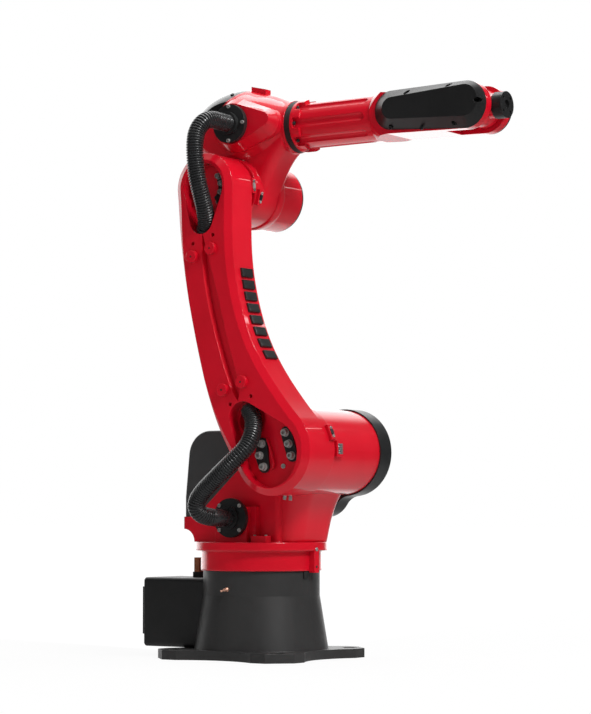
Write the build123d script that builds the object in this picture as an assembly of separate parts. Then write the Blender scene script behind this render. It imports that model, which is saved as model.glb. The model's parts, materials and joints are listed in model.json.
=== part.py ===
from build123d import *

import math
import os

# Six-axis robot arm, standing on its foot plate, in millimetres.
# Origin: centre of the foot plate's underside, on the vertical turning axis.
# +Z is up, +X is the front, and the pitch axes run along Y. The lower arm is on the -Y side.

# Joint axes at rest
shoulder_x = 140.0
shoulder_z = 449.0
arm_length = 601.0
arm_lean = 17.3
roll_height = 140.0
wrist_reach = 592.0

elbow_x = shoulder_x - arm_length * math.sin(math.radians(arm_lean))
elbow_z = shoulder_z + arm_length * math.cos(math.radians(arm_lean))
roll_z = elbow_z + roll_height
wrist_x = elbow_x + wrist_reach

# Clearances
running_gap = 0.6
swing_gap = 5.0
seat_gap = 0.3

# Foot plate and base cone
foot_span = 362.0
foot_thickness = 20.0
foot_chamfer = 45.0
foot_lug = 82.0
foot_scallop = 29.0
foot_bolt_inset = 41.0
foot_bolt_spacing = foot_span - 2 * foot_bolt_inset
foot_bolt_hole = 18.0
foot_bolt_seat = 34.0
foot_seat_depth = 2.0
cone_foot_radius = 147.0
cone_foot_round = 7.0
cone_top_radius = 128.0
cone_top_z = 137.0
base_top_z = 190.4
base_bore_radius = 60.0

# Rear connector box
box_rear_x = -273.5
box_width = 140.0
box_low_z = foot_thickness
box_top_z = 173.0
box_round = 9.0
panel_thickness = 5.5
panel_width = 130.0
panel_low_z = 47.0
panel_top_z = 152.0
socket_radius = 19.0
socket_spread = 30.0
socket_wall = 2.5
stop_reach = 36.0
stop_width = 24.0
stop_thickness = 16.0
stop_bracket_height = 12.0
stop_height = 32.0
nipple_z = 151.5
nipple_radius = 5.0
nipple_length = 7.0

# Turret ring and neck
skirt_overhang = 5.0
skirt_radius = cone_top_radius + skirt_overhang
skirt_low_z = base_top_z + running_gap
ring_overhang = 12.0
ring_radius = skirt_radius + ring_overhang
ring_low_z = 234.5
ring_top_z = 253.0
tab_width = 18.0
tab_low_z = 187.0
neck_rear_x = -84.0
neck_left_y = -61.0
neck_foot_front_x = 126.0
neck_foot_right_y = 100.0
neck_head_front_x = 150.0
neck_head_right_y = 119.0
neck_head_z = 405.0
neck_round = 44.0
pedestal_rear_x = -53.0
pedestal_front_x = 31.0
pedestal_y = -100.0
pedestal_top_z = 330.0
pedestal_step_x = 46.0
pedestal_step_y = -88.0
lid_rear_x = 43.0
lid_length = 43.0
lid_width = 16.0
lid_height = 14.0

# Shoulder, its motor cover and the hood
shoulder_radius = 93.0
shoulder_left_y = -66.0
shoulder_right_y = 119.0
motor_cover_depth = 50.0
motor_cover_radius = 96.0
motor_cover_bevel = 7.0
lobe_x = 68.0
lobe_z = 369.0
lobe_radius = 62.0
lobe_blend = 40.0
rear_wall_x = -158.5
rear_left_y = -72.0
rear_right_y = 92.0
shelf_low_z = 281.0
shelf_top_z = 308.0
slant_foot_x = -126.0
slant_angle = 41.8
slant_length = 298.0
wall_round = 12.0
hood_inset = 2.0
hood_top_z = 497.0
hood_front_x = 34.0
hood_lean = 14.0
hood_lean_z = 352.0
hood_round = 56.0
hood_edge_round = 6.0

# Flanges of the two conduits
turret_port_x = -7.0
turret_port_z = 305.5
elbow_port_x = elbow_x + 21.5
elbow_port_z = roll_z + 5.0
port_radius = 42.5
port_thickness = 10.0
port_collar_radius = 25.0
port_collar_length = 8.0

# Lower arm
arm_left_y = -170.0
arm_right_y = -88.0
arm_bevel_width = 15.0
arm_bevel_depth = 10.0
shoulder_end_radius = 97.0
elbow_end_radius = 74.0
elbow_boss_radius = 68.0
recess_depth = 28.0
entry_depth = 44.0
channel_depth = 12.0
channel_slope = 5.0
stud_radius = 13.0
stud_height = 5.0
stud_bore_radius = 4.0
arm_hole_radius = 4.2
arm_hole_depth = 14.0
plate_radius = 13.0
plate_thickness = 4.0
mark_length = 34.0
mark_height = 7.0

# Curves of the lower arm, seen from the left with the shoulder axis below and the elbow axis
# above: each point is a share of the arm's length and a distance to the front of its middle line.
# The rear points also carry the share of the bevel that is left out there.
shoulder_rear_angle = 191.2
shoulder_front_angle = 26.7
elbow_rear_angle = 168.7
elbow_front_angle = -17.3
rear_curve = [(0.889, -87.6, 0.4), (0.629, -107.0, 1.0), (0.329, -117.9, 1.0), (0.121, -112.7, 0.4)]
front_curve = [(0.185, 56.6), (0.368, 22.8), (0.564, 15.4), (0.726, 28.0)]
channel_rear_curve = [(0.726, -49.9), (0.486, -63.0), (0.356, -61.2), (0.276, -58.3)]
channel_front_curve = [(0.293, -33.2), (0.34, -33.8), (0.469, -33.7), (0.641, -29.8), (0.749, -29.5)]

# Recesses and fastener places of the lower arm, from the nearer joint axis: across, along
shoulder_recess_circles = [(-5.0, -6.0, 73.0), (-46.0, 87.5, 35.0)]
elbow_recess_circles = [(1.5, -1.5, 52.0), (-24.5, -69.0, 30.0)]
shoulder_entry = (-41.5, 82.0, 33.0)
elbow_entry = (-21.0, -64.5, 27.0)
channel_low_end = (-47.5, 123.5)
channel_top_end = (-29.0, -93.5)
shoulder_studs = [(-76.0, 160.0), (-23.5, 160.0)]
elbow_studs = [(-68.0, -138.0), (-16.0, -138.0)]
shoulder_holes = [(-69.0, 125.0), (-12.5, 124.5)]
elbow_holes = [(-60.5, -110.0), (-4.5, -110.5)]

# Bolts under the two plates in the shoulder recess, in X and Z from the shoulder axis
front_plate_bolts = [(25.0, 37.0), (34.0, 13.0), (41.0, -12.0)]
rear_plate_bolts = [(-36.0, 14.0), (-41.0, -11.0), (-31.0, -35.0)]

# Elbow
hub_radius = 74.0
hub_left_y = -73.0
hub_right_y = 37.0
elbow_motor_radius = 73.0
elbow_motor_right_y = 110.0
elbow_cap_thickness = 5.0
roll_ring_x = elbow_x + 136.0
roll_radius = 58.0
bulb_radius = 94.0
bulb_x = elbow_x - 1.0
bulb_rear_x = elbow_x - 133.0
bulb_curve = [(0.64, 0.39), (0.29, 0.78)]
pad_left_y = -92.0
pad_base_y = -72.0
dome_split_x = elbow_x + 27.5
dome_split_z = roll_z + 95.0
dome_split_lean = 45.0
web_left_y = -52.0
web_rear_x = elbow_x - 73.0
web_round = 22.0
web_curve = [(107.0, 62.0), (93.0, 40.0), (79.0, 8.0)]
web_foot_angle = -18.0
pad_base_radius = 60.0
pad_face_radius = 46.0
pad_nose_x = elbow_port_x + 79.0
pad_nose_radius = 32.0
pad_nose_face_radius = 15.0
top_block_rear_x = elbow_x + 24.5
top_block_front_x = elbow_x + 62.5
top_block_left_y = -20.0
top_block_rear_z = roll_z + 98.0
top_block_front_z = roll_z + 89.0

# Forearm
seal_length = 15.0
forearm_radius = 50.0
forearm_flange_radius = 57.0
forearm_flange_length = 7.0
forearm_lobe_length = 16.0
forearm_end_x = roll_ring_x + seal_length + 203.0
flute_count = 8
flute_radius = 12.0
flute_depth = 5.0
fork_width = 104.0
fork_end_radius = 50.0
fork_waist_x = forearm_end_x + 45.0
fork_waist = 44.5
fork_slot = 62.0
fork_slot_reach = 58.0
belt_cover_depth = 30.0
belt_rear_x = forearm_end_x + 57.0
belt_rear_radius = 42.0
belt_rear_rise = 4.7
belt_face_x = belt_rear_x + 17.0
belt_face_radius = 23.0
belt_face_end_x = wrist_x + 12.0
belt_face_end_radius = 33.0
belt_face_rise = 4.0
belt_screw_radius = 6.0
far_cover_depth = 6.0

# Wrist and tool flange
wrist_half_width = fork_slot / 2.0 - running_gap
wrist_radius = 41.0
wrist_neck_radius = 27.0
wrist_nose = 45.0
flange_radius = 28.0
flange_length = 24.0
flange_bolt_circle = 40.0
flange_bolt_hole = 6.0
flange_bolt_depth = 10.0
flange_bore_radius = 10.0
flange_bore_depth = 6.0

# Corrugated conduits: their routes, each from its flange to the lower arm. The bends are given
# from the shoulder axis and from the elbow axis, with Y as it is.
conduit_diameter = 38.0
conduit_end_radius = 22.0
conduit_end_length = 12.0
turret_port_y = pedestal_y - port_thickness
elbow_port_y = pad_left_y - port_thickness
lower_bends = [
    (-159, -172, -142),
    (-167, -194, -134),
    (-168, -206, -116),
    (-153, -209, -93),
    (-123, -208, -67),
    (-90, -206, -39),
    (-62, -200, -14),
    (-46, -186, 8),
    (-43, -171, 34),
    (-49, -159, 57),
    (-57, -153, 74),
    (-67, -152, 87),
]
upper_bends = [
    (23, -166, 146),
    (18, -190, 139),
    (11, -205, 117),
    (10, -211, 90),
    (10, -210, 62),
    (11, -207, 31),
    (13, -201, 2),
    (14, -190, -26),
    (12, -176, -52),
    (5, -161, -73),
    (-1, -152, -87),
]
lower_route = [
    (turret_port_x, turret_port_y - port_collar_length, turret_port_z),
    (turret_port_x, turret_port_y - 34, turret_port_z),
] + [(shoulder_x + x, y, shoulder_z + z) for x, y, z in lower_bends]
upper_route = [
    (elbow_port_x, elbow_port_y - port_collar_length, elbow_port_z),
    (elbow_port_x, elbow_port_y - 36, elbow_port_z),
] + [(elbow_x + x, y, elbow_z + z) for x, y, z in upper_bends]


def along_x(sketch, x_from, x_to):
    """Extrude a sketch drawn in Y and Z between two places on X."""
    return extrude(Plane.YZ.offset(x_from) * sketch, amount=x_to - x_from)


def along_y(sketch, y_from, y_to):
    """Extrude a sketch drawn in X and Z between two places on Y."""
    return extrude(Plane.XZ.offset(-y_from) * sketch, amount=y_from - y_to)


def along_z(sketch, z_from, z_to):
    """Extrude a sketch drawn in X and Y between two heights."""
    return extrude(Plane.XY.offset(z_from) * sketch, amount=z_to - z_from)


def disc_x(y, z, radius, x_from, x_to):
    return along_x(Pos(y, z) * Circle(radius), x_from, x_to)


def disc_y(x, z, radius, y_from, y_to):
    return along_y(Pos(x, z) * Circle(radius), y_from, y_to)


def disc_z(x, y, radius, z_from, z_to):
    return along_z(Pos(x, y) * Circle(radius), z_from, z_to)


def block(x_from, x_to, y_from, y_to, z_from, z_to):
    """A box given by its two corners."""
    centre = Pos((x_from + x_to) / 2, (y_from + y_to) / 2, (z_from + z_to) / 2)
    return centre * Box(x_to - x_from, y_to - y_from, z_to - z_from)


def two_circles(x_a, z_a, radius_a, x_b, z_b, radius_b):
    """Outline stretched round two circles."""
    circles = Pos(x_a, z_a) * Circle(radius_a) + Pos(x_b, z_b) * Circle(radius_b)
    return make_hull(circles.edges())


def blended_circles(middle_a, radius_a, middle_b, radius_b, blend):
    """Two overlapping circles whose hollow corners are rounded."""
    start, end = Vector(*middle_a), Vector(*middle_b)
    outline = Pos(start) * Circle(radius_a) + Pos(end) * Circle(radius_b)
    reach_a, reach_b = radius_a + blend, radius_b + blend
    run = end - start
    along = (run.length ** 2 + reach_a ** 2 - reach_b ** 2) / (2 * run.length)
    across = math.sqrt(reach_a ** 2 - along ** 2)
    middle = start + run.normalized() * along
    for side in (-across, across):
        centre = middle + run.normalized().rotate(Axis.Z, 90) * side
        outline += make_face(Polyline(start, end, centre, close=True))
        outline -= Pos(centre) * Circle(blend)
    return outline


def polar(x, z, radius, degrees):
    """A point at a radius and an angle from a centre, in a side view."""
    angle = math.radians(degrees)
    return (x + radius * math.cos(angle), z + radius * math.sin(angle))


def heading(degrees):
    """Which way a circle runs at an angle, turning to the left."""
    angle = math.radians(degrees)
    return (-math.sin(angle), math.cos(angle))


def arm_frame():
    """Places the arm's own side view on the part, at the shoulder axis and with its lean."""
    return Pos(shoulder_x, shoulder_z) * Rot(0, 0, arm_lean)


def arm_point(place, from_elbow):
    """X and Z of a place given across and along the arm from one of its joint axes."""
    across, along = place[:2]
    if from_elbow:
        along += arm_length
    lean = math.radians(arm_lean)
    x = shoulder_x + across * math.cos(lean) - along * math.sin(lean)
    z = shoulder_z + across * math.sin(lean) + along * math.cos(lean)
    return (x, z)


def largest(shape):
    """The biggest solid that a cut has left."""
    return max(shape.solids(), key=lambda piece: piece.volume)


def save(solid, name):
    """Write one node to its own file."""
    export_step(solid, "parts/" + name + ".step")


def foot_outline():
    """Square plate with chamfered corners and hollow edges between its four lugs."""
    half = foot_span / 2
    plate = chamfer(Rectangle(foot_span, foot_span).vertices(), foot_chamfer)
    mouth = half - foot_lug
    scallop_radius = (mouth ** 2 + foot_scallop ** 2) / (2 * foot_scallop)
    centre = half - foot_scallop + scallop_radius
    for turn in range(4):
        plate -= Rot(0, 0, 90 * turn) * Pos(centre, 0) * Circle(scallop_radius)
    return plate


def base_cone():
    """Cone and cylinder of the base, turned about the vertical axis."""
    profile = Polyline(
        (0, 0),
        (cone_foot_radius, 0),
        (cone_foot_radius, foot_thickness),
        (cone_top_radius, cone_top_z),
        (cone_top_radius, base_top_z),
        (0, base_top_z),
        close=True,
    )
    return revolve(make_face(Plane.XZ * profile), axis=Axis.Z)


def make_base():
    """Fixed foot: casting, connector box, panel, sockets, stop and grease nipple."""
    casting = along_z(foot_outline(), 0, foot_thickness) + base_cone()
    casting -= disc_z(0, 0, base_bore_radius, -1, foot_thickness)
    seat_z = foot_thickness - foot_seat_depth
    for hole in GridLocations(foot_bolt_spacing, foot_bolt_spacing, 2, 2):
        casting -= hole * disc_z(0, 0, foot_bolt_hole / 2, -1, foot_thickness + 1)
        casting -= hole * disc_z(0, 0, foot_bolt_seat / 2, seat_z, foot_thickness + 1)
    save(casting, "base_casting")

    half = box_width / 2
    box = block(box_rear_x, -cone_top_radius / 2, -half, half, box_low_z, box_top_z)
    box = fillet(box.edges().filter_by(Axis.X), box_round)
    box = fillet(box.faces().sort_by(Axis.X)[0].edges(), box_round / 2)
    box = largest(box - base_cone())
    save(box, "connector_box")

    panel_rear_x = box_rear_x - panel_thickness
    half = panel_width / 2
    middle = (panel_low_z + panel_top_z) / 2
    panel = block(panel_rear_x, box_rear_x, -half, half, panel_low_z, panel_top_z)
    sockets = []
    for side in (-1, 1):
        y = side * socket_spread
        panel -= disc_x(y, middle, socket_radius, panel_rear_x - 1, box_rear_x + 1)
        sockets.append(connector_socket(y, middle, panel_rear_x))
    save(panel, "connector_panel")
    save(Compound(sockets), "connector_sockets")

    half = stop_width / 2
    stop_x = -skirt_radius - stop_reach
    front_x = stop_x + stop_thickness / 2
    rear_x = stop_x - stop_thickness / 2
    rubber_low_z = box_top_z + stop_bracket_height
    bracket = block(rear_x - 2, front_x + 2, -half, half, box_top_z, rubber_low_z)
    save(bracket, "stop_bracket")
    rubber = block(rear_x, front_x, -half, half, rubber_low_z, rubber_low_z + stop_height)
    rubber = fillet(rubber.edges().filter_by(Axis.Z), 3)
    save(rubber, "stop_rubber")

    nipple_end_y = -cone_top_radius - nipple_length
    nipple = disc_y(0, nipple_z, nipple_radius, -cone_top_radius / 2, nipple_end_y + 3)
    nipple += disc_y(0, nipple_z, nipple_radius / 2, -cone_top_radius, nipple_end_y)
    save(largest(nipple - base_cone()), "grease_nipple")


def connector_socket(y, z, panel_rear_x):
    """Round socket sunk in the panel: a cup with a raised middle."""
    front_x = panel_rear_x + panel_thickness
    outer = socket_radius - seat_gap
    cup = disc_x(y, z, outer, panel_rear_x + 1, front_x)
    cup -= disc_x(y, z, outer - socket_wall, panel_rear_x, front_x - socket_wall)
    return cup + disc_x(y, z, outer / 2, panel_rear_x + 1, front_x - 1)


def neck():
    """Cast neck with rounded corners, wider towards the shoulder."""
    sections = []
    for z, front_x, right_y in (
        (ring_top_z, neck_foot_front_x, neck_foot_right_y),
        (neck_head_z, neck_head_front_x, neck_head_right_y),
    ):
        middle = Pos((front_x + neck_rear_x) / 2, (right_y + neck_left_y) / 2)
        outline = RectangleRounded(front_x - neck_rear_x, right_y - neck_left_y, neck_round)
        sections.append(Plane.XY.offset(z) * middle * outline)
    return loft(sections)


def slant_top():
    """Where the slanted top of the rear wall ends, inside the shoulder."""
    return polar(slant_foot_x, shelf_top_z, slant_length, slant_angle)


def below_slant():
    """Everything above the ring and under the slanted top."""
    top_x, top_z = slant_top()
    outline = Polyline(
        (slant_foot_x, ring_top_z),
        (shoulder_x + shoulder_radius, ring_top_z),
        (shoulder_x + shoulder_radius, top_z),
        (top_x, top_z),
        (slant_foot_x, shelf_top_z),
        close=True,
    )
    return along_y(make_face(outline), -ring_radius, ring_radius)


def rear_wall():
    """Rear part of the turret: shelf, slanted top and hollow corner above the ring."""
    corner = shelf_low_z - ring_top_z
    hollow = ThreePointArc(
        (rear_wall_x, shelf_low_z),
        polar(rear_wall_x, ring_top_z, corner, 45),
        (rear_wall_x + corner, ring_top_z),
    )
    outline = Polyline(
        (rear_wall_x + corner, ring_top_z),
        (slant_top()[0], ring_top_z),
        slant_top(),
        (slant_foot_x, shelf_top_z),
        (rear_wall_x, shelf_top_z),
        (rear_wall_x, shelf_low_z),
    )
    wall = along_y(make_face([hollow, *outline.edges()]), rear_left_y, rear_right_y)
    return fillet(wall.edges().filter_by(Axis.Z).group_by(Axis.X)[-1], wall_round)


def arm_swing_room():
    """Room on the left of the shoulder for the round end of the lower arm."""
    radius = shoulder_end_radius + swing_gap
    return disc_y(shoulder_x, shoulder_z, radius, arm_left_y, shoulder_left_y)


def turret_casting():
    """Ring, neck, rear wall and shoulder as one casting."""
    casting = disc_z(0, 0, skirt_radius, skirt_low_z, ring_low_z)
    casting += disc_z(0, 0, ring_radius, ring_low_z, ring_top_z)
    casting += rear_wall()
    casting += neck() & below_slant()
    casting -= arm_swing_room()
    casting += disc_y(
        shoulder_x, shoulder_z, shoulder_radius, shoulder_left_y, shoulder_right_y
    )
    return casting


def conduit_boss():
    """Stepped block on the left of the neck that carries the conduit flange."""
    inner_y = rear_left_y / 2
    boss = block(
        pedestal_rear_x, pedestal_front_x, pedestal_y, inner_y, ring_top_z, pedestal_top_z
    )
    return boss + block(
        pedestal_front_x, pedestal_step_x, pedestal_step_y, inner_y, ring_top_z, pedestal_top_z
    )


def make_turret():
    """Turning column with its covers, conduit flange and marks."""
    casting = turret_casting()
    save(casting, "turret_casting")
    save(largest(conduit_boss() - casting), "conduit_boss")
    save(shoulder_motor_cover(), "shoulder_motor_cover")
    save(largest(hood() - casting - arm_swing_room()), "rear_hood")
    save(port_flange(turret_port_x, turret_port_z, turret_port_y), "turret_conduit_flange")

    half = tab_width / 2
    tab = block(0, ring_radius + 1, -half, half, tab_low_z, ring_low_z)
    tab -= disc_z(0, 0, skirt_radius, tab_low_z - 1, ring_low_z + 1)
    save(tab, "turret_mark_tab")

    lid = block(
        lid_rear_x,
        lid_rear_x + lid_length,
        pedestal_y - lid_width / 4,
        pedestal_step_y,
        ring_top_z,
        ring_top_z + lid_height,
    )
    lid = fillet(lid.edges().filter_by(Axis.Z).group_by(Axis.Y)[0], 4)
    save(lid, "turret_cable_lid")
    mark = mark_block(
        shoulder_x, shoulder_z, shoulder_radius, 2, shoulder_left_y + 4, shoulder_left_y + 30
    )
    save(mark, "shoulder_mark_turret")


def hood():
    """Cover over the motor of the vertical axis, before the casting is cut from it."""
    lean_x = rear_wall_x + hood_lean
    outline = Polyline(
        (rear_wall_x, shelf_top_z - 40),
        (hood_front_x, shelf_top_z - 40),
        (hood_front_x, hood_top_z),
        (lean_x, hood_top_z),
        (rear_wall_x, hood_lean_z),
        close=True,
    )
    sketch = make_face(outline)
    sketch = fillet(sketch.vertices().group_by(Axis.Y)[-1].sort_by(Axis.X)[0], hood_round)
    sketch = fillet(sketch.vertices().group_by(Axis.Y)[-1].sort_by(Axis.X)[-1], hood_round / 2)
    cover = along_y(sketch, rear_left_y + hood_inset, rear_right_y - hood_inset)
    sides = cover.faces().sort_by(Axis.Y)
    cover = fillet(sides[0].edges() + sides[-1].edges(), hood_edge_round)
    above = block(rear_wall_x, hood_front_x, arm_left_y, ring_radius, shelf_top_z, hood_top_z + 1)
    return cover & above


def shoulder_motor_cover():
    """Cover on the motor end of the shoulder, with a lower lobe for the gear case."""
    outline = blended_circles(
        (shoulder_x, shoulder_z), motor_cover_radius, (lobe_x, lobe_z), lobe_radius, lobe_blend
    )
    end_y = shoulder_right_y + motor_cover_depth
    cover = along_y(outline, shoulder_right_y, end_y)
    return chamfer(cover.faces().sort_by(Axis.Y)[-1].edges(), motor_cover_bevel)


def port_flange(x, z, face_y):
    """Round flange with a collar that a conduit leaves along -Y."""
    flange = disc_y(x, z, port_radius, face_y, face_y + port_thickness)
    collar = disc_y(x, z, port_collar_radius, face_y - port_collar_length, face_y)
    return flange + collar


def mark_block(x, z, radius, degrees, left_y, right_y):
    """Small alignment block on the round outside of a joint."""
    half = mark_length / 2
    piece = block(radius / 2, radius + mark_height, left_y, right_y, -half, half)
    piece -= disc_y(0, 0, radius, left_y - 1, right_y + 1)
    return Pos(x, 0, z) * Rot(0, -degrees, 0) * piece


def arm_outline(widening):
    """The arm's own side view: two round ends joined by long curves, wider behind if asked."""
    elbow = (0, arm_length)
    rear_points = [
        (across - widening * swell, share * arm_length) for share, across, swell in rear_curve
    ]
    front_points = [(across, share * arm_length) for share, across in front_curve]
    rear = Spline(
        polar(*elbow, elbow_end_radius, elbow_rear_angle),
        *rear_points,
        polar(0, 0, shoulder_end_radius, shoulder_rear_angle),
        tangents=[heading(elbow_rear_angle), heading(shoulder_rear_angle)],
    )
    front = Spline(
        polar(0, 0, shoulder_end_radius, shoulder_front_angle),
        *front_points,
        polar(*elbow, elbow_end_radius, elbow_front_angle),
        tangents=[heading(shoulder_front_angle), heading(elbow_front_angle)],
    )
    low_turn = 360 + shoulder_front_angle - shoulder_rear_angle
    low = CenterArc((0, 0), shoulder_end_radius, shoulder_rear_angle, low_turn)
    top_turn = elbow_rear_angle - elbow_front_angle
    top = CenterArc(elbow, elbow_end_radius, elbow_front_angle, top_turn)
    return arm_frame() * make_face([rear, low, front, top])


def arm_body():
    """The arm's bar, bevelled on its left face except along the rear edge."""
    body = along_y(arm_outline(0), arm_right_y, arm_left_y)
    wide = along_y(arm_outline(arm_bevel_width), arm_right_y + 1, arm_left_y)
    face = wide.faces().sort_by(Axis.Y)[0]
    return body & chamfer(face.edges(), arm_bevel_width, arm_bevel_depth, reference=face)


def recess(circles, from_elbow):
    """Recess beside a joint axis, narrowing to the conduit's entry."""
    places = [(*arm_point(circle, from_elbow), circle[2]) for circle in circles]
    return two_circles(*places[0], *places[1])


def channel(inset):
    """Outline of the long channel between the two recesses, drawn in from its edge."""
    top = (channel_top_end[0], channel_top_end[1] + arm_length)
    rear_points = [(across + inset, share * arm_length) for share, across in channel_rear_curve]
    front_points = [(across - inset, share * arm_length) for share, across in channel_front_curve]
    rear = Spline(top, *rear_points, channel_low_end)
    front = Spline(channel_low_end, *front_points, top)
    return arm_frame() * make_face([rear, front])


def lower_arm_casting():
    """Curved arm with a bevelled face, two recesses, a channel and a boss at each joint."""
    arm = arm_body()
    inner_shoulder_y = shoulder_left_y - running_gap
    inner_elbow_y = hub_left_y - running_gap
    inside_y = arm_right_y - 1
    arm += disc_y(shoulder_x, shoulder_z, shoulder_end_radius, inner_shoulder_y, inside_y)
    arm += disc_y(elbow_x, elbow_z, elbow_boss_radius, inner_elbow_y, inside_y)
    floor_y = arm_left_y + recess_depth
    sunk = recess(elbow_recess_circles, True) + recess(shoulder_recess_circles, False)
    arm -= along_y(sunk, arm_left_y - 1, floor_y)
    mouth = Plane.XZ.offset(-arm_left_y + 1) * channel(0)
    floor = Plane.XZ.offset(-arm_left_y - channel_depth) * channel(channel_slope)
    arm -= loft([mouth, floor], ruled=True)
    entry_y = arm_left_y + entry_depth
    for place, from_elbow in ((shoulder_entry, False), (elbow_entry, True)):
        arm -= disc_y(*arm_point(place, from_elbow), place[2], floor_y - 1, entry_y)
    studs = [arm_point(place, False) for place in shoulder_studs]
    studs += [arm_point(place, True) for place in elbow_studs]
    for x, z in studs:
        arm += disc_y(x, z, stud_radius, arm_left_y, arm_left_y - stud_height)
        arm -= disc_y(x, z, stud_bore_radius, arm_left_y + 1, arm_left_y - stud_height - 1)
    holes = [arm_point(place, False) for place in shoulder_holes]
    holes += [arm_point(place, True) for place in elbow_holes]
    for x, z in holes:
        arm -= disc_y(x, z, arm_hole_radius, arm_left_y - 1, arm_left_y + arm_hole_depth)
    return arm


def bolt_plate(bolts):
    """Plate under three bolts in the shoulder recess."""
    outline = Sketch()
    for x, z in bolts:
        outline += Pos(shoulder_x + x, shoulder_z + z) * Circle(plate_radius)
    floor_y = arm_left_y + recess_depth
    return along_y(make_hull(outline.edges()), floor_y, floor_y - plate_thickness)


def make_lower_arm():
    """Lower arm casting with what is fastened to it."""
    casting = lower_arm_casting()
    save(casting, "lower_arm_casting")
    plates = [bolt_plate(front_plate_bolts), bolt_plate(rear_plate_bolts)]
    save(Compound(plates), "shoulder_bolt_plates")
    shoulder_mark = mark_block(
        shoulder_x, shoulder_z, shoulder_end_radius, 22, arm_right_y + 3, shoulder_left_y - 2
    )
    save(shoulder_mark, "shoulder_mark_arm")
    elbow_mark = mark_block(
        elbow_x, elbow_z, elbow_boss_radius, 5, arm_right_y + 1, hub_left_y - 3
    )
    save(elbow_mark, "elbow_mark_arm")
    make_conduit(lower_route, "lower_conduit", casting)
    make_conduit(upper_route, "upper_conduit", casting)


def bulb():
    """Roll housing turned about the forearm's axis: a trumpet in front and a dome behind."""
    run = roll_ring_x - bulb_x
    rise = bulb_radius - roll_radius
    front = Spline(
        (roll_ring_x - 8, roll_radius),
        *[(bulb_x + share * run, roll_radius + height * rise) for share, height in bulb_curve],
        (bulb_x, bulb_radius),
        tangents=[(-1, 0.15), (-1, 0)],
    )
    dome = EllipticalCenterArc(
        (bulb_x, 0), bulb_x - bulb_rear_x, bulb_radius, start_angle=90, arc_size=90
    )
    closing = Polyline(
        (bulb_rear_x, 0),
        (roll_ring_x, 0),
        (roll_ring_x, roll_radius),
        (roll_ring_x - 8, roll_radius),
    )
    profile = Plane.XZ * Pos(0, roll_z) * make_face([front, dome, *closing.edges()])
    solid = revolve(profile, axis=Axis((0, 0, roll_z), (1, 0, 0)))
    side_room = block(
        bulb_rear_x, roll_ring_x, pad_base_y, ring_radius, roll_z - bulb_radius, roll_z + bulb_radius
    )
    return solid & side_room


def dome_room():
    """Everything behind the leaning plane between the roll housing and its rear cover."""
    lean = math.radians(dome_split_lean)
    plane = Plane(
        origin=(dome_split_x, 0, dome_split_z),
        x_dir=(0, 1, 0),
        z_dir=(-math.cos(lean), 0, math.sin(lean)),
    )
    return extrude(plane * Rectangle(6 * bulb_radius, 6 * bulb_radius), amount=3 * bulb_radius)


def web():
    """Web between the elbow hub and the roll housing, hollow and rounded towards the front."""
    front_x = roll_ring_x - 8
    top_z = roll_z - roll_radius + 2
    foot = polar(elbow_x, elbow_z, hub_radius, web_foot_angle)
    hollow = Spline((front_x, top_z), *[(elbow_x + x, elbow_z + z) for x, z in web_curve], foot)
    outline = Polyline(
        foot,
        (elbow_x, elbow_z - hub_radius / 2),
        (web_rear_x, elbow_z),
        (web_rear_x, roll_z),
        (front_x, roll_z),
        (front_x, top_z),
    )
    solid = along_y(make_face([hollow, *outline.edges()]), web_left_y, hub_right_y)
    return fillet(solid.edges().filter_by(GeomType.BSPLINE), web_round)


def conduit_pad():
    """Raised pad with sloping sides, pointed to the front, that carries the conduit flange."""
    nose = (pad_nose_x, elbow_port_z - 1, pad_nose_radius)
    face_nose = (pad_nose_x + 4, elbow_port_z + 5, pad_nose_face_radius)
    base = two_circles(elbow_port_x, elbow_port_z - 1, pad_base_radius, *nose)
    face = two_circles(elbow_port_x, elbow_port_z, pad_face_radius, *face_nose)
    low = Plane.XZ.offset(-pad_base_y) * base
    high = Plane.XZ.offset(-pad_left_y) * face
    return loft([low, high]) + along_y(base, 0, pad_base_y)


def elbow_casting():
    """Hub, web and roll housing as one casting, open behind for the dome."""
    casting = bulb() + web() - dome_room()
    return casting + disc_y(elbow_x, elbow_z, hub_radius, hub_left_y, hub_right_y)


def make_elbow():
    """Elbow casting with its motor, covers, flange and marks."""
    casting = elbow_casting()
    save(casting, "elbow_casting")
    motor = disc_y(elbow_x, elbow_z, elbow_motor_radius, hub_right_y, elbow_motor_right_y)
    dome = largest((bulb() & dome_room()) - casting)
    save(dome, "rear_cover")
    save(largest(conduit_pad() - casting - dome), "elbow_conduit_pad")
    save(largest(motor - casting - dome), "elbow_motor_housing")
    cap_end_y = elbow_motor_right_y + elbow_cap_thickness
    cap = disc_y(elbow_x, elbow_z, elbow_motor_radius - 1, elbow_motor_right_y, cap_end_y)
    save(cap, "elbow_motor_cap")
    save(port_flange(elbow_port_x, elbow_port_z, elbow_port_y), "elbow_conduit_flange")
    mark = mark_block(elbow_x, elbow_z, hub_radius, -13, hub_left_y + 4, web_left_y - 1)
    save(mark, "elbow_mark_hub")
    save(largest(top_lug() - casting - dome), "top_block")


def top_lug():
    """Lug with a sloping top on the roll housing."""
    outline = Polyline(
        (top_block_rear_x, roll_z),
        (top_block_front_x, roll_z),
        (top_block_front_x, top_block_front_z),
        (top_block_rear_x, top_block_rear_z),
        close=True,
    )
    return along_y(make_face(outline), top_block_left_y, 0)


def flute(angle, x_from, x_to):
    """Round-ended groove along the forearm, as the tool that cuts it."""
    reach = forearm_radius + flute_radius - flute_depth
    y, z = polar(0, roll_z, reach, angle)
    groove = disc_x(y, z, flute_radius, x_from, x_to)
    return groove + Pos(x_to, y, z) * Sphere(flute_radius)


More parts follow.
